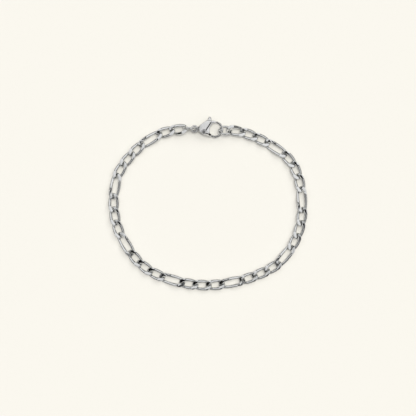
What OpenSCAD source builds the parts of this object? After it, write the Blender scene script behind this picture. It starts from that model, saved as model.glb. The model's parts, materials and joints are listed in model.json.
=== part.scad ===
// Link bracelet, fastened and laid flat: a pressed curb chain with one long link after every
// three short ones, a lever clasp, and a jump ring between each end of the chain and the clasp.
// Sizes are in millimetres. It lies on Z = 0. X runs along the clasp, from its eye to its hook.

/* [Chain] */
// Number of links in the chain
link_count = 34; // [24:1:40]
// Each link whose number divides by this is a long one
long_every = 4; // [2:1:12]
// Pitch of a short link, from joint to joint
short_pitch = 4.35; // [4.2:0.05:5.5]
// Pitch of a long link, from joint to joint
long_pitch = 6.7; // [5:0.05:10]
// Outside width of a link
link_w = 3.6; // [3.5:0.05:4.2]
// Diameter of the link wire
link_wire = 1; // [0.7:0.05:1.05]
// Thickness to which the links are pressed
link_t = 1.7; // [1.5:0.05:2]
// Twist of a link at each of its joints, in degrees
link_twist = 40; // [38:1:44]
// Play between two links at their joint
link_play = 0.2; // [0.15:0.01:0.25]

/* [Jump rings] */
// Outside diameter of a jump ring
jump_d = 4.6; // [4.4:0.1:5]
// Diameter of the jump ring wire
jump_wire = 0.75; // [0.5:0.05:0.8]
// Slant of the hook's jump ring from lying flat, in degrees
jump_slant = 46; // [42:1:50]
// Play between a jump ring and what it holds
jump_play = 0.06; // [0.03:0.01:0.12]
// How far the hook's jump ring stands off the inside of the hook
jump_slack = 0.26; // [0.25:0.01:0.4]
// How far that ring's middle lies below the middle of the hook, seen from above
jump_drop = 0.3; // [0.25:0.05:0.5]

/* [Clasp] */
// Thickness of the clasp over its cheeks
clasp_t = 3; // [2.8:0.1:3.4]
// Distance from the middle of the eye to the middle of the hook
eye_reach = 6.65; // [6.4:0.05:8]
// Diameter of the hole through the eye
eye_hole = 1.2; // [1.1:0.05:1.6]
// Diameter of the eye's rim
eye_rim = 0.68; // [0.5:0.02:0.74]
// Inside radius of the hook
hook_in = 2; // [1.9:0.1:2.6]
// Diameter of the hook's bar
hook_bar = 0.7; // [0.5:0.05:0.75]
// Width of the neck between the eye and the cheeks
neck_w = 1.1; // [0.9:0.1:1.5]
// How far the cheeks stand over the eye's rim at the neck, on each face
neck_proud = 0.05; // [0.02:0.01:0.1]
// How far the cheeks stand over the hook's bar at its root, on each face
root_proud = 0.2; // [0.1:0.05:0.3]
// Width of the bevel at the root of the hook, seen from above
root_bevel = 0.75; // [0.5:0.05:1]
// Width of the bevel along the cheeks' top edge, seen from above
top_bevel = 0.6; // [0.3:0.05:0.8]
// Depth of that bevel, on each face
top_bevel_d = 0.3; // [0.1:0.05:0.4]

/* [Lever] */
// Thickness of the lever
lever_t = 1; // [0.8:0.05:1.2]
// Clearance round the lever in its slot
lever_gap = 0.1; // [0.08:0.01:0.15]
// Radius of the lever's eye, which turns on the rivet
lever_eye_r = 0.5; // [0.45:0.05:0.55]
// How far the thumb nub stands above the cheeks
nub_h = 1.2; // [0.8:0.1:1.6]
// Width of the thumb nub at its foot
nub_w = 1.35; // [1.1:0.05:1.5]
// Diameter of the rivet
rivet_d = 0.5; // [0.4:0.05:0.6]
// Clearance round the rivet in the lever
rivet_fit = 0.04; // [0.02:0.01:0.06]
// Clearance round the rivet in the cheeks
rivet_seat = 0.01; // [0.005:0.005:0.02]
// Diameter of the rivet's head
rivet_head_d = 1.05; // [0.8:0.05:1.2]
// Height of the rivet's head above the cheek
rivet_head_h = 0.12; // [0.06:0.02:0.2]

/* [Hidden] */
// Points that the loop passes through, clockwise from the joint at the eye's jump ring. The second
// one is the joint at the hook's jump ring. The loop is scaled until its length fits the pieces.
ROUTE = [
    [-7.4, 24.1], [6.8, 23.8], [15.5, 21.4], [25.1, 15.6], [29.2, 9], [30.7, -1.2],
    [29.1, -10.4], [23.9, -18.8], [15.5, -23.6], [5.2, -26.3], [-4.7, -26.5], [-15.2, -23.9],
    [-22.4, -19.4], [-28.5, -10.4], [-30.7, -1.3], [-29.6, 8.8], [-24.3, 16.3], [-17.1, 21.9]
];
// Straight steps that the curve takes between two points of the route
ROUTE_STEPS = 12;
// Sides of the link wire, segments of a link's round end, and length of a step along its straight,
// as a share of the link's width
WIRE_SIDES = 6;
END_STEPS = 6;
STRAIGHT_STEP = 0.35;
// Share of the rise to a jump ring that the joints next to it take, the nearest first
RISE = [1, 0.25, 0.04];

// Half the clasp's thickness, which is the height of its middle plane
clasp_z = clasp_t / 2;
// Radius of the hook's middle line, and where the bar starts and ends, in degrees round it
hook_r = hook_in + hook_bar / 2;
hook_start = 232;
hook_end = 442;
// Radius of the eye's middle line
eye_r = (eye_hole + eye_rim) / 2;
// Radius of a jump ring's middle line, and of the hole through it
jump_r = (jump_d - jump_wire) / 2;
jump_in = jump_d / 2 - jump_wire;

// Height of the upright jump ring's middle, of the slanted one's, and of the last link's end
eye_ring_z = jump_d / 2;
hook_ring_z = jump_r * sin(jump_slant) + jump_wire / 2;
eye_joint_z = 1.27 * clasp_z;
// Where a thing of radius r at height z rests inside the upright ring, measured from its middle
function ring_seat(r, z) = sqrt(pow(jump_in - jump_play - r, 2) - pow(eye_ring_z - z, 2));
eye_ring_x = -eye_reach - eye_r - ring_seat(eye_rim / 2, clasp_z);
eye_joint_x = eye_ring_x - ring_seat(link_wire / 2 / cos(link_twist), eye_joint_z) - link_wire / 2;
hook_ring_x = hook_in - jump_slack + jump_in;
hook_joint_x = hook_ring_x + sqrt(pow(jump_in - jump_play, 2) - pow(jump_drop / cos(jump_slant), 2));

// Length of the loop that the clasp and its jump rings take, and of the whole loop
clasp_span = hook_joint_x - eye_joint_x;
function is_long(i) = i % long_every == 0;
function pitch(i) = is_long(i) ? long_pitch : short_pitch;
function chain_to(i) = i < 1 ? 0 : pitch(i) + chain_to(i - 1);
loop_length = clasp_span + chain_to(link_count);

// The drawn curve through the route, the length walked to each of its points, and its scale
function blend(a, b, c, d, t) =
    (2 * b + (c - a) * t + (2 * a - 5 * b + 4 * c - d) * t * t
    + (3 * b - a - 3 * c + d) * t * t * t) / 2;
stops = len(ROUTE);
drawn = [
    for (i = [0 : stops - 1], k = [0 : ROUTE_STEPS - 1])
        blend(ROUTE[(i + stops - 1) % stops], ROUTE[i], ROUTE[(i + 1) % stops],
            ROUTE[(i + 2) % stops], k / ROUTE_STEPS)
];
steps = len(drawn);
function stride(i) = norm(drawn[(i + 1) % steps] - drawn[i % steps]);
walked = [for (i = 0, s = 0; i <= steps; s = s + stride(i), i = i + 1) s];
fit = loop_length / walked[steps];

// The point of the loop at length s from the eye's joint
function along(s) =
    let (u = s / fit, k = max([for (i = [0 : steps - 1]) if (walked[i] <= u) i]))
    fit * (drawn[k] + (drawn[(k + 1) % steps] - drawn[k]) * (u - walked[k]) / stride(k));

// Height of joint i, counted from the hook's jump ring, and its place
function rise(i) = i < len(RISE) ? RISE[i] : 0;
function joint_z(i) =
    link_t / 2 + rise(i) * (hook_ring_z - link_t / 2)
    + rise(link_count - i) * (eye_joint_z - link_t / 2);
function joint(i) =
    let (p = along(i == link_count ? 0 : clasp_span + chain_to(i)))
    [p.x, p.y, joint_z(i)];
joints = [for (i = [0 : link_count]) joint(i)];

// The clasp's own frame: its origin is under the middle of the hook, its X runs away from the eye
eye_end = along(0);
clasp_way = along(clasp_span) - eye_end;
clasp_turn = atan2(clasp_way.y, clasp_way.x);
clasp_at = eye_end - clasp_way / norm(clasp_way) * eye_joint_x;

// Middle line of a link before its twist: rows of place x, y and outward direction x, y
bend_r = (link_w - link_wire) / 2;
function straight(p) = p / 2 + link_play / 2 + link_wire / 2 - bend_r;
function side_cuts(p) = max(1, round(2 * straight(p) / STRAIGHT_STEP / link_w) - 1);
function half_link(p, turn) =
    let (s = straight(p), c = side_cuts(p))
    concat(
        [for (k = [0 : END_STEPS]) let (a = turn - 90 + 180 * k / END_STEPS)
            [s * cos(turn) + bend_r * cos(a), bend_r * sin(a), cos(a), sin(a)]],
        [for (k = [1 : c]) [s * cos(turn) * (1 - 2 * k / (c + 1)), bend_r * cos(turn), 0, cos(turn)]]
    );
function middle_line(p) = concat(half_link(p, 0), half_link(p, 180));

// A point of the wire's surface, twisted by its place along the link and pressed flat
function pressed(z) = max(-link_t / 2, min(link_t / 2, z));
function twisted(q, p) =
    let (a = -link_twist * q.x / (p / 2))
    [q.x, q.y * cos(a) - q.z * sin(a), pressed(q.y * sin(a) + q.z * cos(a))];
function link_skin(p) = [
    for (m = middle_line(p), j = [0 : WIRE_SIDES - 1])
        let (a = 360 * j / WIRE_SIDES, r = link_wire / 2)
        twisted([m[0] + r * cos(a) * m[2], m[1] + r * cos(a) * m[3], r * sin(a)], p)
];

// The skin of link i, laid between its two joints and no lower than the ground
function unit(v) = v / norm(v);
function grounded(p) = [p.x, p.y, max(0, p.z)];
function laid_link(i) =
    let (a = joints[i - 1], b = joints[i], x = unit(b - a), y = unit(cross([0, 0, 1], x)))
    let (z = cross(x, y), o = (a + b) / 2)
    [for (q = link_skin(pitch(i))) grounded(o + q.x * x + q.y * y + q.z * z)];
skins = [for (i = [1 : link_count]) laid_link(i)];

// Where a point of the clasp's frame lies in the loop
function in_loop(p) = [
    clasp_at.x + p.x * cos(clasp_turn) - p.y * sin(clasp_turn),
    clasp_at.y + p.x * sin(clasp_turn) + p.y * cos(clasp_turn)
];

// Rounded corners of the cheeks: how far out from the hook's middle line and the radius, as shares
// of the hook's radius, and where round the hook, in degrees. They are the boss round the rivet,
// the root of the hook, the shoulder, and the corner where the lever's arm comes out.
OUT = 0;
TURN = 1;
ROUND = 2;
BOSS = [0.59, 195.5, 0.34];
ROOT = [0.064, 228, 0.213];
SHOULDER = [0.417, 134.5, 0.234];
CORNER = [0.193, 121.1, 0.179];
// Where the cheeks' edge runs beside the rivet, and the middles of the lever's foot and its edge at
// the opening, from the rivet and from the hook's middle, as shares of the hook's radius
EDGE = [0.341, 0.17];
FOOT = [0.745, 0];
SWEEP = [0.34, -0.064];

function polar(r, a) = [r * cos(a), r * sin(a)];
function corner_at(c) = polar(hook_r * (1 + c[OUT]), c[TURN]);
function corner_r(c) = hook_r * c[ROUND];
rivet_at = corner_at(BOSS);
root_at = corner_at(ROOT);
shoulder_at = corner_at(SHOULDER);
arm_corner = corner_at(CORNER);
cheek_top = shoulder_at.y + corner_r(SHOULDER);
cheek_low = root_at.y - corner_r(ROOT);
neck_x = -eye_reach + eye_r;

// The thumb nub's top and its radius, and the lever's foot over the root of the hook
nub_r = 0.36 * nub_w;
nub_at = [shoulder_at.x + corner_r(SHOULDER), cheek_top + nub_h];
foot_at = rivet_at + hook_r * FOOT;
foot_r = 0.3 * lever_eye_r;

// Middle of everything seen from above, which goes to the origin
spread = concat([for (s = skins, q = s) [q.x, q.y]], [in_loop(nub_at)]);
function spread_along(i) = [for (q = spread) q[i]];
middle = [
    (min(spread_along(0)) + max(spread_along(0))) / 2,
    (min(spread_along(1)) + max(spread_along(1))) / 2,
    0
];

function two_figures(i) = str(i < 10 ? "0" : "", i);
function link_name(i) = str(is_long(i) ? "long_link_" : "short_link_", two_figures(i));

// Points of an arc about c, from angle a to angle b in n steps
function arc(c, r, a, b, n) = [for (k = [0 : n]) c + polar(r, a + (b - a) * k / n)];

module chain_link(i) {
    rings = len(skins[i - 1]) / WIRE_SIDES;
    function at(m, j) = (m % rings) * WIRE_SIDES + j % WIRE_SIDES;
    color("silver")
        translate(-middle)
            polyhedron(skins[i - 1], [
                for (m = [0 : rings - 1], j = [0 : WIRE_SIDES - 1], upper = [true, false])
                    upper ? [at(m, j), at(m, j + 1), at(m + 1, j + 1)]
                        : [at(m, j), at(m + 1, j + 1), at(m + 1, j)]
            ]);
}

// Puts a piece drawn in the clasp's frame where the clasp lies
module at_clasp(z) {
    translate([clasp_at.x - middle.x, clasp_at.y - middle.y, z])
        rotate([0, 0, clasp_turn])
            children();
}

module jump_ring() {
    color("silver")
        rotate_extrude($fn = 72)
            translate([jump_r, 0])
                circle(d = jump_wire, $fn = 32);
}

// Stands on edge, through the eye and the last link
module eye_jump_ring() {
    at_clasp(eye_ring_z)
        translate([eye_ring_x, 0, 0])
            rotate([90, 0, 0])
                jump_ring();
}

// Lies slanted, under the hook on one side and over it on the other
module hook_jump_ring() {
    at_clasp(hook_ring_z)
        translate([hook_ring_x, -jump_drop, 0])
            rotate([-jump_slant, 0, 0])
                jump_ring();
}

// Outline of the cheeks seen from above
module cheek_outline() {
    polygon(concat(
        [[neck_x, -neck_w / 2]],
        arc(rivet_at, corner_r(BOSS), 215, 252, 5),
        arc(root_at, corner_r(ROOT), 250, 390, 10),
        [rivet_at + hook_r * EDGE],
        arc(arm_corner, corner_r(CORNER), -35, 90, 8),
        arc(shoulder_at, corner_r(SHOULDER), 90, 128, 5),
        [[neck_x, neck_w / 2]]
    ));
}

// Side view of the cheeks, thinner at the neck, along X. They rise steeply from the eye's rim, then
// slope gently up to the boss round the rivet.
module side_outline() {
    thin = eye_rim / 2 + neck_proud;
    full = rivet_at.x - corner_r(BOSS);
    bend = [neck_x + 0.43 * (full - neck_x), thin + 0.73 * (clasp_z - thin)];
    polygon([
        [neck_x, -thin], [bend.x, -bend.y], [full, -clasp_z], [hook_in, -clasp_z],
        [hook_in, clasp_z], [full, clasp_z], bend, [neck_x, thin]
    ]);
}

// End view of the cheeks, thinner at the root of the hook and at the top edge, along Y
module end_outline() {
    low_z = hook_bar / 2 + root_proud;
    top_z = clasp_z - top_bevel_d;
    polygon([
        [cheek_low, -low_z], [cheek_low + root_bevel, -clasp_z], [cheek_top - top_bevel, -clasp_z],
        [cheek_top, -top_z], [cheek_top, top_z], [cheek_top - top_bevel, clasp_z],
        [cheek_low + root_bevel, clasp_z], [cheek_low, low_z]
    ]);
}

// The cheeks, not yet slotted, with the middle plane at z = 0
module cheeks() {
    intersection() {
        translate([0, 0, -clasp_z])
            linear_extrude(clasp_t)
                cheek_outline();
        translate([0, eye_reach, 0])
            rotate([90, 0, 0])
                linear_extrude(2 * eye_reach)
                    side_outline();
        translate([-eye_reach, 0, 0])
            rotate([90, 0, 90])
                linear_extrude(2 * eye_reach)
                    end_outline();
    }
}

// Slot that the lever turns in, open towards the hook and the top edge
module lever_slot() {
    slot_t = lever_t + 2 * lever_gap;
    slot_r = lever_eye_r + 1.2 * lever_gap;
    far = cheek_top + nub_h;
    translate([0, 0, -slot_t / 2])
        linear_extrude(slot_t)
            polygon(concat(
                arc(rivet_at, slot_r, 180, 281, 8),
                [[foot_at.x, foot_at.y - foot_r - lever_gap]],
                [[hook_in, foot_at.y + 2 * foot_r], [hook_in, far]],
                [[rivet_at.x - slot_r - lever_gap, far]]
            ));
}

module clasp_body() {
    color("silver")
        at_clasp(clasp_z) {
            difference() {
                cheeks();
                lever_slot();
                translate([rivet_at.x, rivet_at.y, -clasp_t])
                    cylinder(d = rivet_d + 2 * rivet_seat, h = 2 * clasp_t, $fn = 48);
            }
            rotate([0, 0, hook_start])
                rotate_extrude(angle = hook_end - hook_start, $fn = 96)
                    translate([hook_r, 0])
                        circle(d = hook_bar, $fn = 32);
            translate([-eye_reach, 0, 0])
                rotate_extrude($fn = 72)
                    translate([eye_r, 0])
                        circle(d = eye_rim, $fn = 32);
        }
}

// Outline of the lever: its eye, its foot, the edge beside the hook's opening, its tip and its nub
module lever_outline() {
    tip_x = hook_r * cos(hook_end) - 1.6 * lever_gap;
    tip_y = hook_in + hook_bar;
    edge = cheek_top - lever_gap;
    polygon(concat(
        arc(rivet_at, lever_eye_r, 165, 281, 8),
        arc(foot_at, foot_r, -79, 10, 4),
        arc(hook_r * SWEEP, 1.3 * hook_in, 198, 126, 14),
        [[tip_x, hook_in], [tip_x, tip_y - 0.4 * lever_gap]],
        [[nub_at.x + 0.6 * nub_w, edge], [nub_at.x + 0.45 * nub_w, edge]],
        arc(nub_at - [0, nub_r], nub_r, 15, 150, 8),
        [[nub_at.x - 0.55 * nub_w, edge], [shoulder_at.x - corner_r(CORNER), shoulder_at.y + lever_gap]]
    ));
}

module clasp_lever() {
    color("lightgray")
        at_clasp(clasp_z)
            difference() {
                translate([0, 0, -lever_t / 2])
                    linear_extrude(lever_t)
                        lever_outline();
                translate([rivet_at.x, rivet_at.y, -lever_t])
                    cylinder(d = rivet_d + 2 * rivet_fit, h = 2 * lever_t, $fn = 48);
            }
}

// Filed flush underneath, with a low head on top
module clasp_rivet() {
    color("gray")
        at_clasp(0)
            translate([rivet_at.x, rivet_at.y, 0]) {
                cylinder(d = rivet_d, h = clasp_t + rivet_head_h / 2, $fn = 48);
                translate([0, 0, clasp_t])
                    cylinder(d = rivet_head_d, h = rivet_head_h, $fn = 48);
            }
}

for (i = [1 : link_count]) {
    chain_link(i);
}
eye_jump_ring();
hook_jump_ring();
clasp_body();
clasp_lever();
clasp_rivet();
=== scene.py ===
"""Link bracelet in polished steel, fastened and laid flat on a pale board, seen from above.

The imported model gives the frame: every piece here is made in its sizes, laid where its node lies,
and takes that node's place. Sizes are in millimetres until MM turns them to metres, and angles are
in degrees.
"""

import json
import math

import bmesh
import bpy
from mathutils import Matrix, Vector


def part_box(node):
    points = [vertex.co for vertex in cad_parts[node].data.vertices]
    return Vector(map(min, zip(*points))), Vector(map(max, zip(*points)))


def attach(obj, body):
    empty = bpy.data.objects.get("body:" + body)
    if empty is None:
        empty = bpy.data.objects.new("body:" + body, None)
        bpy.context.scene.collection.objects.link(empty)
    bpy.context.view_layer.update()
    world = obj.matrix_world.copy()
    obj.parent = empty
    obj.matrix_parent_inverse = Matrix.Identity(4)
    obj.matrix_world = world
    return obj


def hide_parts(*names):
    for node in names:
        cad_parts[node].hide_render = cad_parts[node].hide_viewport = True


MM = 0.001

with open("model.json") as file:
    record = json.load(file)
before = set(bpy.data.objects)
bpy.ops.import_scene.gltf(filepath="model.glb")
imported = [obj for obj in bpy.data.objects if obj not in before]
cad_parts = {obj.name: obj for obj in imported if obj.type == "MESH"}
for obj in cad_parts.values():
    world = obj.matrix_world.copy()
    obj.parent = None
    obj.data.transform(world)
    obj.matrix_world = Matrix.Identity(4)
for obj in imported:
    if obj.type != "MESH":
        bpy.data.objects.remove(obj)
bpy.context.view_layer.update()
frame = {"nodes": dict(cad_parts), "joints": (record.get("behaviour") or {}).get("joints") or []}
nodes = frame["nodes"]

# Chain, as in the part
SHORT_PITCH = 4.35
LONG_PITCH = 6.7
LINK_W = 3.6
LINK_WIRE = 1.0
LINK_T = 1.7
LINK_TWIST = 40
LINK_PLAY = 0.2
# Only here: how finely the wire is divided, and the soft edge that pressing leaves on a link
WIRE_SIDES = 20
BEND_STEPS = 42
STRAIGHT_STEP = 0.3
PRESSED_EDGE = 0.04
# Jump rings
JUMP_D = 4.6
JUMP_WIRE = 0.75
JUMP_STEPS = 120

# Clasp, from the middle of its hook and from its middle plane, with X from its eye to its hook
CLASP_T = 3.0
HOOK_R = 2.35
HOOK_BAR = 0.7
HOOK_ROUND = 0.16
HOOK_START = 232
HOOK_END = 442
HOOK_STEPS = 84
EYE_X = -6.65
EYE_R = 0.94
EYE_RIM = 0.68
NECK_X = -5.71
NECK_W = 1.1
RIVET = (-3.6006, -0.9985)
RIVET_D = 0.5
RIVET_HEAD_D = 1.05
RIVET_HEAD_H = 0.12
RIVET_HOLE_R = 0.26
SLOT_T = 1.2
SLOT_R = 0.62
SLOT_BACK = 0.72
LEVER_T = 1.0
LEVER_EYE_R = 0.5
LEVER_HOLE_R = 0.29
LEVER_GAP = 0.1
LEVER_FOOT_X = -1.85
CHEEK_TOP = 2.925
CHEEK_LOW = -2.358
# The cheeks' straight edge beside the hook's opening, from its lower end to its upper
EDGE_LOW = (-2.8, -0.6)
EDGE_TOP = (-1.104, 2.16)
# Thumb nub: its tip, its width at its foot, and the radius of its tip, seen from above
NUB = (-1.784, 4.125)
NUB_W = 1.35
NUB_R = 0.486
# Middles of the jump rings in the same frame
EYE_RING_X = -8.416
HOOK_RING_X = 3.29
HOOK_RING_DROP = 0.3

# Planes that the cheeks are cut to, above and below: a point on each, and the way that it faces
CHEEK_PLANES = (
    ((NECK_X, 0, 0.39), (-0.81, 0, 0.563)),  # the steep rise from the eye's rim
    ((-4.4, 0, CLASP_T / 2), (-0.3, 0, 0.747)),  # the gentle slope up to the boss round the rivet
    ((0, CHEEK_LOW, 0.55), (0, -0.95, 0.75)),  # the slope along the lower edge
    ((-1.373, -2.2585, 0.62), (0.503, -0.671, 1.0)),  # the facet at the root of the hook
    ((0, CHEEK_TOP, 1.2), (0, 0.3, 0.6)),  # the slope along the top edge
)
# Section of the wedge that is filed off the straight edge: how far each corner is out from the
# edge, and how far from the middle plane
EDGE_WEDGE = ((-0.42, 1.525), (0.2, 1.035), (0.2, 1.6), (-0.42, 1.6))
# Roundings of the clasp's edges, and the ring-shaped dip round the rivet's head
CHEEK_ROUND = 0.18
LEVER_ROUND = 0.13
HEAD_ROUND = 0.11
NUB_ROUND = 0.36
DIP_R = 0.66
DIP_W = 0.36
# What rounding takes off a square corner, as a share of the rounding's size
CORNER_LOSS = 0.414
# Size of the small even faces that a casting's skin is made of
SKIN = 0.05
# How far a drill stands out past what it cuts, and how near to a line still counts as on it
DRILL_PAST = 0.5
NEAR = 0.01


# Working by hand
def clear_selection():
    """Leaves edit mode with nothing selected."""
    if bpy.context.mode != "OBJECT":
        bpy.ops.object.mode_set(mode="OBJECT")
    bpy.ops.object.select_all(action="DESELECT")


def take(piece):
    """Selects this piece alone."""
    clear_selection()
    piece.select_set(True)
    bpy.context.view_layer.objects.active = piece


def work_on(piece):
    """Opens this piece alone in edit mode."""
    take(piece)
    bpy.ops.object.mode_set(mode="EDIT")


def just_added(name):
    """Names the piece that was added last, and keeps its place in its mesh."""
    piece = bpy.context.object
    piece.name = name
    bpy.ops.object.transform_apply(location=True, rotation=True, scale=True)
    return piece


def pick(piece, kind, wanted):
    """In edit mode, selects the verts, edges or faces that are wanted, and nothing else."""
    bpy.ops.mesh.select_mode(type={"verts": "VERT", "edges": "EDGE", "faces": "FACE"}[kind])
    bpy.ops.mesh.select_all(action="DESELECT")
    mesh = bmesh.from_edit_mesh(piece.data)
    for element in getattr(mesh, kind):
        if wanted(element):
            element.select_set(True)
    mesh.select_flush_mode()
    bmesh.update_edit_mesh(piece.data)


def modify(piece, kind, **settings):
    """Adds a modifier and applies it."""
    take(piece)
    made = piece.modifiers.new(kind.title(), kind)
    for name, value in settings.items():
        setattr(made, name, value)
    bpy.ops.object.modifier_apply(modifier=made.name)


def round_edges(piece, width, segments, sharper_than, **settings):
    """Rounds the edges that are sharper than an angle."""
    modify(
        piece, "BEVEL", width=width * MM, segments=segments, limit_method="ANGLE",
        angle_limit=math.radians(sharper_than), **settings,
    )


def even_skin(piece):
    """Makes a piece's skin again from small even faces, so that cuts and joins come out clean."""
    modify(piece, "REMESH", mode="VOXEL", voxel_size=SKIN * MM, adaptivity=0.0)


def combine(piece, other, operation):
    """Joins another piece to this one, or cuts it out, and throws it away."""
    modify(piece, "BOOLEAN", object=other, operation=operation, solver="EXACT")
    bpy.data.objects.remove(other)


def tidy(piece):
    """Merges doubled corners and turns every face outwards."""
    work_on(piece)
    bpy.ops.mesh.select_all(action="SELECT")
    bpy.ops.mesh.remove_doubles(threshold=0.0005 * MM)
    bpy.ops.mesh.normals_make_consistent(inside=False)
    clear_selection()


def lay(piece, where):
    """Moves a piece to its place, and keeps that place in its mesh."""
    take(piece)
    piece.matrix_world = where
    bpy.ops.object.transform_apply(location=True, rotation=True, scale=True)


def slice_off(piece, through, facing, snap=0.0001):
    """Cuts off what lies beyond a plane, and fills the cut. Corners within snap count as on it."""
    work_on(piece)
    bpy.ops.mesh.select_all(action="SELECT")
    bpy.ops.mesh.bisect(
        plane_co=[c * MM for c in through], plane_no=facing, use_fill=True, clear_outer=True,
        threshold=snap * MM,
    )
    clear_selection()


def smooth(piece, sharper_than):
    """Smooth shading, with the edges that are sharper than an angle kept."""
    take(piece)
    bpy.ops.object.shade_smooth_by_angle(angle=math.radians(sharper_than))


def put_on(piece, node_name, body, finish):
    """Gives the piece its finish, and lets it stand for its node."""
    piece.data.materials.clear()
    piece.data.materials.append(finish)
    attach(piece, body)
    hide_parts(node_name)


def lie_of(node_name):
    """How a node lies: its middle, with its longest axis as X and its thinnest as Z."""
    spots = [v.co for v in nodes[node_name].data.vertices]
    middle = sum(spots, Vector()) / len(spots)
    spread = Matrix(((0, 0, 0), (0, 0, 0), (0, 0, 0)))
    for spot in spots:
        d = (spot - middle) / MM
        for row in range(3):
            for column in range(3):
                spread[row][column] += d[row] * d[column]
    narrow = spread.inverted()
    # Two rough guesses, which settle on the real axes well within this many rounds
    long_axis, thin_axis = Vector((1, 0.4, 0.1)), Vector((0.1, 0.2, 1))
    for _ in range(60):
        long_axis = (spread @ long_axis).normalized()
        thin_axis = (narrow @ thin_axis).normalized()
    across = thin_axis.cross(long_axis).normalized()
    turned = Matrix((long_axis, across, long_axis.cross(across))).transposed()
    return Matrix.Translation(middle) @ turned.to_4x4()


# Colours and finishes
def linear(code):
    """A colour written as sRGB hex, as linear values."""
    parts = [int(code[i : i + 2], 16) / 255 for i in (1, 3, 5)]
    return [c / 12.92 if c <= 0.04045 else ((c + 0.055) / 1.055) ** 2.4 for c in parts] + [1]


def add(tree, kind, inputs=None, ramp=(), **settings):
    """Adds a node with its settings, sets or links its inputs, and fills in its colour ramp."""
    made = tree.nodes.new("ShaderNode" + kind)
    for name, value in settings.items():
        setattr(made, name, value)
    for name, value in (inputs or {}).items():
        if isinstance(value, bpy.types.NodeSocket):
            tree.links.new(value, made.inputs[name])
        else:
            made.inputs[name].default_value = value
    if ramp:
        stops = made.color_ramp.elements
        while len(stops) < len(ramp):
            stops.new(0.5)
        for stop, (at, colour) in zip(stops, ramp):
            stop.position = at
            stop.color = colour
    return made


def new_finish(name):
    """A new material, and its node tree, still empty."""
    finish = bpy.data.materials.new(name)
    finish.use_nodes = True
    finish.node_tree.nodes.clear()
    return finish, finish.node_tree


def per_mm(size):
    """Scale of a pattern whose features are this many mm across."""
    return 1 / (size * MM)


def polished_steel():
    """Links and jump rings: drawn stainless wire, pressed, then tumbled with steel balls until it
    shines like a mirror with the finest haze. It gives the eye a light grey with hard bright
    reflections, and thin dark ones where it mirrors its neighbours."""
    finish, tree = new_finish("tumbled_steel_wire")
    place = add(tree, "TexCoord").outputs["Object"]
    # The balls leave marks of about 0.03 mm, too fine to show, so they are drawn at 0.12 mm
    marks = add(tree, "TexNoise", {
        "Vector": place, "Scale": per_mm(0.12), "Detail": 3.0, "Roughness": 0.6,
    })
    # Low dents from the tumbling, 1.6 mm across and less than 0.01 mm deep
    waves = add(tree, "TexNoise", {
        "Vector": place, "Scale": per_mm(1.6), "Detail": 1.0, "Roughness": 0.4,
    })
    tint = add(
        tree, "ValToRGB", {"Fac": waves.outputs["Fac"]},
        ramp=[(0, linear("#D2D3D3")), (1, linear("#E2E3E3"))],
    )
    gloss = add(tree, "MapRange", {
        "Value": marks.outputs["Fac"], "From Min": 0.3, "From Max": 0.7,
        "To Min": 0.05, "To Max": 0.11,
    })
    dents = add(tree, "Bump", {
        "Height": waves.outputs["Fac"], "Strength": 0.35, "Distance": 0.02 * MM,
    })
    shader = add(tree, "BsdfPrincipled", {
        "Base Color": tint.outputs["Color"], "Metallic": 1.0,
        "Roughness": gloss.outputs["Result"], "Normal": dents.outputs["Normal"],
    })
    add(tree, "OutputMaterial", {"Surface": shader.outputs["BSDF"]})
    return finish


def cast_steel():
    """Clasp: investment-cast stainless steel, filed, tumbled and buffed. It gives the eye a grey a
    little darker and softer in gloss than the wire's, with faint waves left by the file."""
    finish, tree = new_finish("buffed_cast_steel")
    place = add(tree, "TexCoord").outputs["Object"]
    # The buffing mop's scratches are about 0.02 mm, too fine to show, so they are drawn at 0.15 mm
    marks = add(tree, "TexNoise", {
        "Vector": place, "Scale": per_mm(0.15), "Detail": 4.0, "Roughness": 0.65,
    })
    # The file's waves, 1.1 mm across and at most 0.01 mm deep
    waves = add(tree, "TexNoise", {
        "Vector": place, "Scale": per_mm(1.1), "Detail": 1.0, "Roughness": 0.4,
    })
    tint = add(
        tree, "ValToRGB", {"Fac": waves.outputs["Fac"]},
        ramp=[(0, linear("#D2D2D2")), (1, linear("#DEDEDE"))],
    )
    gloss = add(tree, "MapRange", {
        "Value": marks.outputs["Fac"], "From Min": 0.3, "From Max": 0.7,
        "To Min": 0.08, "To Max": 0.16,
    })
    dents = add(tree, "Bump", {
        "Height": waves.outputs["Fac"], "Strength": 0.5, "Distance": 0.02 * MM,
    })
    shader = add(tree, "BsdfPrincipled", {
        "Base Color": tint.outputs["Color"], "Metallic": 1.0,
        "Roughness": gloss.outputs["Result"], "Normal": dents.outputs["Normal"],
    })
    add(tree, "OutputMaterial", {"Surface": shader.outputs["BSDF"]})
    return finish


def rivet_steel_painted_dark():
    """Rivet: a stainless pin, its head left matt as it came from the press. Its dark grey base
    colour is painted shade: it stands for the dark spot that the rivet shows in the bright clasp,
    on top of the real shade of the dip round its head."""
    finish, tree = new_finish("pin_steel_painted_shade")
    place = add(tree, "TexCoord").outputs["Object"]
    # The press leaves its head matt with pits of about 0.05 mm, too fine to show: drawn at 0.2 mm
    marks = add(tree, "TexNoise", {
        "Vector": place, "Scale": per_mm(0.2), "Detail": 3.0, "Roughness": 0.6,
    })
    # Dark greys: painted shade for the rivet's dark spot, varied a little by the pits
    tint = add(
        tree, "ValToRGB", {"Fac": marks.outputs["Fac"]},
        ramp=[(0, linear("#6A6A6A")), (1, linear("#8C8C8C"))],
    )
    gloss = add(tree, "MapRange", {
        "Value": marks.outputs["Fac"], "From Min": 0.3, "From Max": 0.7,
        "To Min": 0.35, "To Max": 0.5,
    })
    shader = add(tree, "BsdfPrincipled", {
        "Base Color": tint.outputs["Color"], "Metallic": 1.0,
        "Roughness": gloss.outputs["Result"],
    })
    add(tree, "OutputMaterial", {"Surface": shader.outputs["BSDF"]})
    return finish


wire_finish = polished_steel()
clasp_finish = cast_steel()
rivet_painted_shade_finish = rivet_steel_painted_dark()


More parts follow.
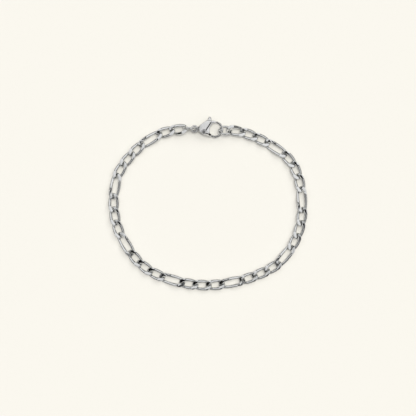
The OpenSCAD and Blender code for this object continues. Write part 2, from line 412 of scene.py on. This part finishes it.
# Chain
def bent_link(name, pitch):
    """A ring of wire, drawn out oblong, twisted, and pressed flat above and below."""
    bend_r = (LINK_W - LINK_WIRE) / 2
    straight = pitch / 2 + LINK_PLAY / 2 + LINK_WIRE / 2 - bend_r
    clear_selection()
    bpy.ops.mesh.primitive_torus_add(
        major_segments=BEND_STEPS, minor_segments=WIRE_SIDES,
        major_radius=bend_r * MM, minor_radius=LINK_WIRE / 2 * MM,
    )
    link = just_added(name)
    work_on(link)
    for side in (1, -1):
        pick(link, "verts", lambda v: v.co.x * side > 0)
        bpy.ops.transform.translate(value=(side * straight * MM, 0, 0))
    pick(link, "edges", lambda e: e.verts[0].co.x * e.verts[1].co.x < 0)
    bpy.ops.mesh.subdivide(number_cuts=max(2, round(straight / STRAIGHT_STEP)))
    length = 2 * (straight + bend_r + LINK_WIRE / 2)
    modify(
        link, "SIMPLE_DEFORM", deform_method="TWIST", deform_axis="X",
        angle=math.radians(-LINK_TWIST * length / (pitch / 2)),
    )
    for side in (1, -1):
        slice_off(link, (0, 0, side * LINK_T / 2), (0, 0, side), snap=0.1)
    tidy(link)
    round_edges(link, PRESSED_EDGE, segments=2, sharper_than=24)
    return link


def all_links():
    """One short and one long link are bent, then copied again and again along the chain. What a
    copy has below the board is taken off."""
    patterns = {
        "short": bent_link("short_link_pattern", SHORT_PITCH),
        "long": bent_link("long_link_pattern", LONG_PITCH),
    }
    for node_name in sorted(n for n in nodes if "_link_" in n):
        kind, number = node_name.split("_link_")
        take(patterns[kind])
        bpy.ops.object.duplicate(linked=False)
        link = bpy.context.object
        link.name = f"wire_link_{number}"
        lay(link, lie_of(node_name))
        slice_off(link, (0, 0, 0), (0, 0, -1))
        tidy(link)
        smooth(link, sharper_than=30)
        put_on(link, node_name, "bracelet", wire_finish)
    for pattern in patterns.values():
        bpy.data.objects.remove(pattern)


all_links()


# Jump rings
def in_cut(face):
    """Whether a face belongs to the one step of the ring that the cut takes out."""
    middle = face.calc_center_median()
    return 0 < math.atan2(middle.y, -middle.x) < 2 * math.pi / JUMP_STEPS


def jump_ring(name, node_name):
    """A ring of wire, bent shut, with the hair-fine cut where its ends meet."""
    clear_selection()
    bpy.ops.mesh.primitive_torus_add(
        major_segments=JUMP_STEPS, minor_segments=WIRE_SIDES,
        major_radius=(JUMP_D - JUMP_WIRE) / 2 * MM, minor_radius=JUMP_WIRE / 2 * MM,
    )
    ring = just_added(name)
    work_on(ring)
    pick(ring, "faces", in_cut)
    bpy.ops.mesh.delete(type="ONLY_FACE")
    pick(ring, "edges", lambda e: e.is_wire)
    bpy.ops.mesh.delete(type="EDGE")
    pick(ring, "edges", lambda e: e.is_boundary)
    bpy.ops.mesh.fill_holes(sides=0)
    tidy(ring)
    lay(ring, lie_of(node_name))
    smooth(ring, sharper_than=40)
    put_on(ring, node_name, "bracelet", wire_finish)


jump_ring("eye_ring_wire", "eye_jump_ring")
jump_ring("hook_ring_wire", "hook_jump_ring")


# Clasp
def clasp_lie():
    """How the clasp lies: turned as the line between the two jump rings is, with its rivet at the
    lever's pivot."""
    low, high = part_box("eye_jump_ring")
    far_low, far_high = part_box("hook_jump_ring")
    way = (far_low + far_high) / 2 - (low + high) / 2
    turn = math.atan2(way.y, way.x) + math.atan2(HOOK_RING_DROP, HOOK_RING_X - EYE_RING_X)
    pivot = Vector(frame["joints"][0]["pos_m"])
    to_origin = Matrix.Translation(Vector((-RIVET[0], -RIVET[1], 0)) * MM)
    return Matrix.Translation(pivot) @ Matrix.Rotation(turn, 4, "Z") @ to_origin


def arc(middle, radius, start, end, steps):
    """Points along an arc, from one angle to another."""
    angles = [math.radians(start + (end - start) * k / steps) for k in range(steps + 1)]
    return [(middle[0] + radius * math.cos(a), middle[1] + radius * math.sin(a)) for a in angles]


def drawn(name, outline, low, high):
    """Draws an outline point by point, closes it and pulls it up to a slab."""
    clear_selection()
    bpy.ops.mesh.primitive_plane_add(size=MM, location=(0, 0, 0))
    piece = just_added(name)
    work_on(piece)
    bpy.ops.mesh.select_mode(type="VERT")
    bpy.ops.mesh.select_all(action="SELECT")
    bpy.ops.mesh.merge(type="CENTER")
    bpy.ops.transform.translate(value=(outline[0][0] * MM, outline[0][1] * MM, low * MM))
    for a, b in zip(outline, outline[1:]):
        step = ((b[0] - a[0]) * MM, (b[1] - a[1]) * MM, 0)
        bpy.ops.mesh.extrude_vertices_move(TRANSFORM_OT_translate={"value": step})
    bpy.ops.mesh.select_all(action="SELECT")
    bpy.ops.mesh.edge_face_add()
    up = (0, 0, (high - low) * MM)
    bpy.ops.mesh.extrude_region_move(TRANSFORM_OT_translate={"value": up})
    tidy(piece)
    return piece


def chamfer(side):
    """What is filed off the cheeks' straight edge, above or below: a long wedge."""
    start, end = Vector((*EDGE_LOW, 0)), Vector((*EDGE_TOP, 0))
    way = (end - start).normalized()
    out = Vector((way.y, -way.x, 0))
    wedge = drawn("edge_wedge", EDGE_WEDGE, 0, (end - start).length)
    turned = Matrix((out, Vector((0, 0, side)), -side * way)).transposed()
    lay(wedge, Matrix.Translation((end if side > 0 else start) * MM) @ turned.to_4x4())
    return wedge


def cheeks():
    """The two cheeks as one slab: thinner at the neck, at the root of the hook and along the top,
    with rounded edges and a chamfer beside the hook's opening."""
    outline = (
        [(NECK_X, -NECK_W / 2)]
        + arc(RIVET, 0.8, 215, 252, 5)  # past the rivet
        + arc((-1.6733, -1.8585), 0.5, 250, 390, 10)  # round the root of the hook
        + [EDGE_LOW]
        + arc((-1.448, 2.4007), 0.42, -35, 90, 8)  # the corner at the lever's tip
        + arc((-2.334, 2.3751), 0.55, 90, 128, 5)  # the corner at the thumb nub
        + [(NECK_X, NECK_W / 2)]
    )
    slab = drawn("clasp_casting", outline, -CLASP_T / 2, CLASP_T / 2)
    for side in (1, -1):
        for (x, y, z), (along, up, out) in CHEEK_PLANES:
            slice_off(slab, (x, y, side * z), (along, up, side * out))
    tidy(slab)
    round_edges(slab, CHEEK_ROUND, segments=4, sharper_than=24, use_clamp_overlap=False)
    even_skin(slab)
    for side in (1, -1):
        combine(slab, chamfer(side), "DIFFERENCE")
    return slab


def lever_slot():
    """The room for the lever between the cheeks: round behind the rivet, and open towards the hook
    and the top."""
    back = RIVET[0] - SLOT_BACK
    outline = arc(RIVET, SLOT_R, 180, 281, 8) + [
        (LEVER_FOOT_X, -1.25), (2.0, -0.7), (2.0, NUB[1]), (back, NUB[1]),
    ]
    return drawn("lever_slot", outline, -SLOT_T / 2, SLOT_T / 2)


def hook_bar():
    """A square bar standing on its corner, the corners well rounded, so that a blunt ridge runs
    along it above and below. It is spun from its root round to its tip."""
    start = math.radians(HOOK_START)
    clear_selection()
    bpy.ops.mesh.primitive_circle_add(
        vertices=4, radius=(HOOK_BAR / 2 + CORNER_LOSS * HOOK_ROUND) * MM, fill_type="NGON",
        location=(HOOK_R * math.cos(start) * MM, HOOK_R * math.sin(start) * MM, 0),
        rotation=(math.pi / 2, 0, start),
    )
    bar = just_added("hook_bar")
    work_on(bar)
    bpy.ops.mesh.select_all(action="SELECT")
    bpy.ops.mesh.bevel(offset=HOOK_ROUND * MM, segments=6, affect="VERTICES")
    bpy.ops.mesh.select_all(action="SELECT")
    bpy.ops.mesh.spin(
        steps=HOOK_STEPS, dupli=False, angle=math.radians(HOOK_END - HOOK_START),
        center=(0, 0, 0), axis=(0, 0, -1),
    )
    tidy(bar)
    return bar


def ring_of(name, radius, thickness, where):
    """A round ring lying flat, to be joined to the casting or cut out of it."""
    clear_selection()
    bpy.ops.mesh.primitive_torus_add(
        major_segments=64, minor_segments=24,
        major_radius=radius * MM, minor_radius=thickness / 2 * MM,
        location=[c * MM for c in where],
    )
    return just_added(name)


def rod_of(name, radius, low, high):
    """A round rod about the rivet's axis."""
    clear_selection()
    bpy.ops.mesh.primitive_cylinder_add(
        vertices=48, radius=radius * MM, depth=(high - low) * MM,
        location=(RIVET[0] * MM, RIVET[1] * MM, (low + high) / 2 * MM),
    )
    return just_added(name)


def drill(piece, name, radius, thickness):
    """Drills the rivet's hole through a piece of this thickness."""
    reach = thickness / 2 + DRILL_PAST
    combine(piece, rod_of(name, radius, -reach, reach), "DIFFERENCE")


def clasp_casting():
    """Cheeks, hook and eye in one casting, with soft inner corners, a slot for the lever and a
    ring-shaped dip round the rivet."""
    body = cheeks()
    combine(body, lever_slot(), "DIFFERENCE")
    combine(body, hook_bar(), "UNION")
    combine(body, ring_of("eye_rim", EYE_R, EYE_RIM, (EYE_X, 0, 0)), "UNION")
    even_skin(body)
    modify(body, "SMOOTH", factor=0.5, iterations=4)
    drill(body, "rivet_hole", RIVET_HOLE_R, CLASP_T)
    combine(body, ring_of("rivet_dip", DIP_R, DIP_W, (*RIVET, CLASP_T / 2)), "DIFFERENCE")
    return body


def lever_plate():
    """The lever: a flat stamping with rounded edges, turning on the rivet, with its thumb nub on
    top."""
    edge = CHEEK_TOP - LEVER_GAP
    foot = (LEVER_FOOT_X, RIVET[1])
    outline = (
        arc(RIVET, LEVER_EYE_R, 165, 281, 10)  # round the rivet
        + arc(foot, 0.15, -79, 10, 5)  # the foot's corner
        + arc((0.799, -0.1504), 2.6, 198, 126, 18)  # the hollow edge beside the opening
        + [(0.167, 2.0), (0.167, 2.66)]  # the tip, against the hook's end
        + [(NUB[0] + 0.6 * NUB_W, edge), (NUB[0] + 0.45 * NUB_W, edge)]  # along the top
        + arc((NUB[0], NUB[1] - NUB_R), NUB_R, 15, 150, 10)  # over the thumb nub
        + [(NUB[0] - 0.55 * NUB_W, edge), (-2.7547, 2.4751)]  # and down its back
    )
    lever = drawn("lever_plate", outline, -LEVER_T / 2, LEVER_T / 2)

    def on_nub(rim):
        """Whether an edge runs round the nub, on the upper or the lower face."""
        a, b = (vert.co for vert in rim.verts)
        level = abs(a.z - b.z) < NEAR * MM
        above = min(a.y, b.y) > (edge - NEAR) * MM
        return level and above and abs((a.y + b.y) / 2 - edge * MM) > NEAR * MM

    work_on(lever)
    pick(lever, "edges", on_nub)
    bpy.ops.mesh.bevel(offset=NUB_ROUND * MM, segments=6, affect="EDGES")
    round_edges(lever, LEVER_ROUND, segments=3, sharper_than=35, use_clamp_overlap=False)
    drill(lever, "pivot_hole", LEVER_HOLE_R, LEVER_T)
    return lever


def rivet():
    """A plain rod with a low domed head on top, its edge pressed round."""
    top = CLASP_T / 2
    pin = rod_of("rivet_pin", RIVET_D / 2, -top, top + RIVET_HEAD_H / 2)
    head = rod_of("rivet_head", RIVET_HEAD_D / 2, top, top + RIVET_HEAD_H)
    round_edges(head, HEAD_ROUND, segments=5, sharper_than=40)
    combine(pin, head, "UNION")
    return pin


def all_clasp():
    """Makes the clasp's three pieces and lays them where the clasp lies."""
    lie = clasp_lie()
    # Piece, its node, the body that it rides on, the angle past which edges stay sharp, its finish
    for piece, node_name, body, sharper_than, finish in (
        (clasp_casting(), "clasp_body", "bracelet", 40, clasp_finish),
        (lever_plate(), "clasp_lever", "lever", 30, clasp_finish),
        (rivet(), "clasp_rivet", "bracelet", 30, rivet_painted_shade_finish),
    ):
        tidy(piece)
        lay(piece, lie)
        smooth(piece, sharper_than)
        put_on(piece, node_name, body, finish)


all_clasp()


# Board that the bracelet lies on
def pale_board():
    """Uncoated pale grey card, which the warm lamps turn cream. It gives the eye an even matt field
    with the faintest grain."""
    finish, tree = new_finish("uncoated_card")
    place = add(tree, "TexCoord").outputs["Object"]
    # The card's grain is about 0.1 mm, too fine to show, so it is drawn at 0.8 mm
    grain = add(tree, "TexNoise", {"Vector": place, "Scale": per_mm(0.8), "Detail": 2.0})
    tint = add(
        tree, "ValToRGB", {"Fac": grain.outputs["Fac"]},
        ramp=[(0, linear("#C5C5C5")), (1, linear("#C7C7C7"))],
    )
    shader = add(tree, "BsdfPrincipled", {
        "Base Color": tint.outputs["Color"], "Roughness": 0.9, "Specular IOR Level": 0.1,
    })
    add(tree, "OutputMaterial", {"Surface": shader.outputs["BSDF"]})
    return finish


clear_selection()
bpy.ops.mesh.primitive_plane_add(size=4, location=(0, 0, 0))
board = just_added("board")
board.data.materials.append(pale_board())

# Light. Each lamp: its name, where it stands, its strength, and how wide it looks
LAMPS = (
    ("top_lamp", (0.06, 0.08, 1.0), 2.788, 26),
    ("side_lamp", (0.66, 0.7, 0.95), 0.958, 40),
)
LAMP_WHITE = (1.0, 0.958, 0.836)
# Brightness of the tent: at heights from the horizon, 0, to straight up, 1, and at distances from
# the middle of the camera's dark stand, whose edge is near 1
TENT_BY_HEIGHT = ((0.0, 0.01), (0.38, 0.03), (0.52, 0.9), (0.66, 1.0))
TENT_ROUND_STAND = ((0.7, 0.01), (0.96, 1.0))


def greys(steps):
    """Stops of a ramp, from places and how bright it is there."""
    return [(at, (level, level, level, 1)) for at, level in steps]


def studio():
    """A white tent, open and dark low down all round, dimmer in front, and dark high up where the
    camera's stand is, with two broad warm lamps: one overhead, one to the upper right."""
    scene = bpy.context.scene
    scene.view_settings.view_transform = "Standard"
    world = bpy.data.worlds.new("studio")
    scene.world = world
    world.use_nodes = True
    tree = world.node_tree
    tree.nodes.clear()
    way = add(tree, "TexCoord").outputs["Generated"]
    split = add(tree, "SeparateXYZ", {"Vector": way})
    height = add(tree, "ValToRGB", {"Fac": split.outputs["Z"]}, ramp=greys(TENT_BY_HEIGHT))
    back = Vector((0.35, 0.95, 0.0)).normalized()
    facing = add(tree, "VectorMath", {0: way, 1: back}, operation="DOT_PRODUCT")
    side = add(tree, "MapRange", {
        "Value": facing.outputs["Value"], "From Min": -0.9, "From Max": 0.2,
        "To Min": 0.3, "To Max": 1.0,
    })
    # The camera's stand is an oval spot, about 20 degrees in front of straight up
    stand = add(tree, "Mapping", {
        "Vector": way, "Location": (0, 0.9, 0), "Scale": (3.4, 2.5, 0),
    })
    away = add(tree, "VectorMath", {0: stand.outputs["Vector"]}, operation="LENGTH")
    clear = add(tree, "ValToRGB", {"Fac": away.outputs["Value"]}, ramp=greys(TENT_ROUND_STAND))
    lit = add(
        tree, "VectorMath", {0: height.outputs["Color"], "Scale": side.outputs["Result"]},
        operation="SCALE",
    )
    glow = add(
        tree, "VectorMath", {0: lit.outputs["Vector"], 1: clear.outputs["Color"]},
        operation="MULTIPLY",
    )
    tent = add(tree, "Background", {"Color": glow.outputs["Vector"], "Strength": 1.05})
    add(tree, "OutputWorld", {"Surface": tent.outputs["Background"]})
    for name, stands_at, strength, breadth in LAMPS:
        clear_selection()
        bpy.ops.object.light_add(type="SUN", location=Vector(stands_at) * 0.5)
        lamp = bpy.context.object
        lamp.name = name
        lamp.data.energy = strength
        lamp.data.angle = math.radians(breadth)
        lamp.data.color = LAMP_WHITE
        lamp.visible_glossy = False  # the steel mirrors the tent alone
        lamp.rotation_euler = Vector(stands_at).to_track_quat("Z", "Y").to_euler()


studio()


def photo_camera():
    """Straight above, as the photograph: 0.325 mm to a pixel of its 416, 1 mm above the board."""
    lens, sensor, pixel, side, level = 85, 36, 0.325, 416, 1
    view_x, view_y = 0.07, -1.41
    height = pixel * side / 2 / (sensor / 2 / lens) + level
    clear_selection()
    bpy.ops.object.camera_add(
        location=(view_x * MM, view_y * MM, height * MM), rotation=(0, 0, 0),
    )
    camera = bpy.context.object
    camera.name = "photo_camera"
    camera.data.lens = lens
    camera.data.sensor_width = sensor
    camera.data.clip_start = 0.01
    camera.data.clip_end = 10
    bpy.context.scene.camera = camera


photo_camera()

clear_selection()
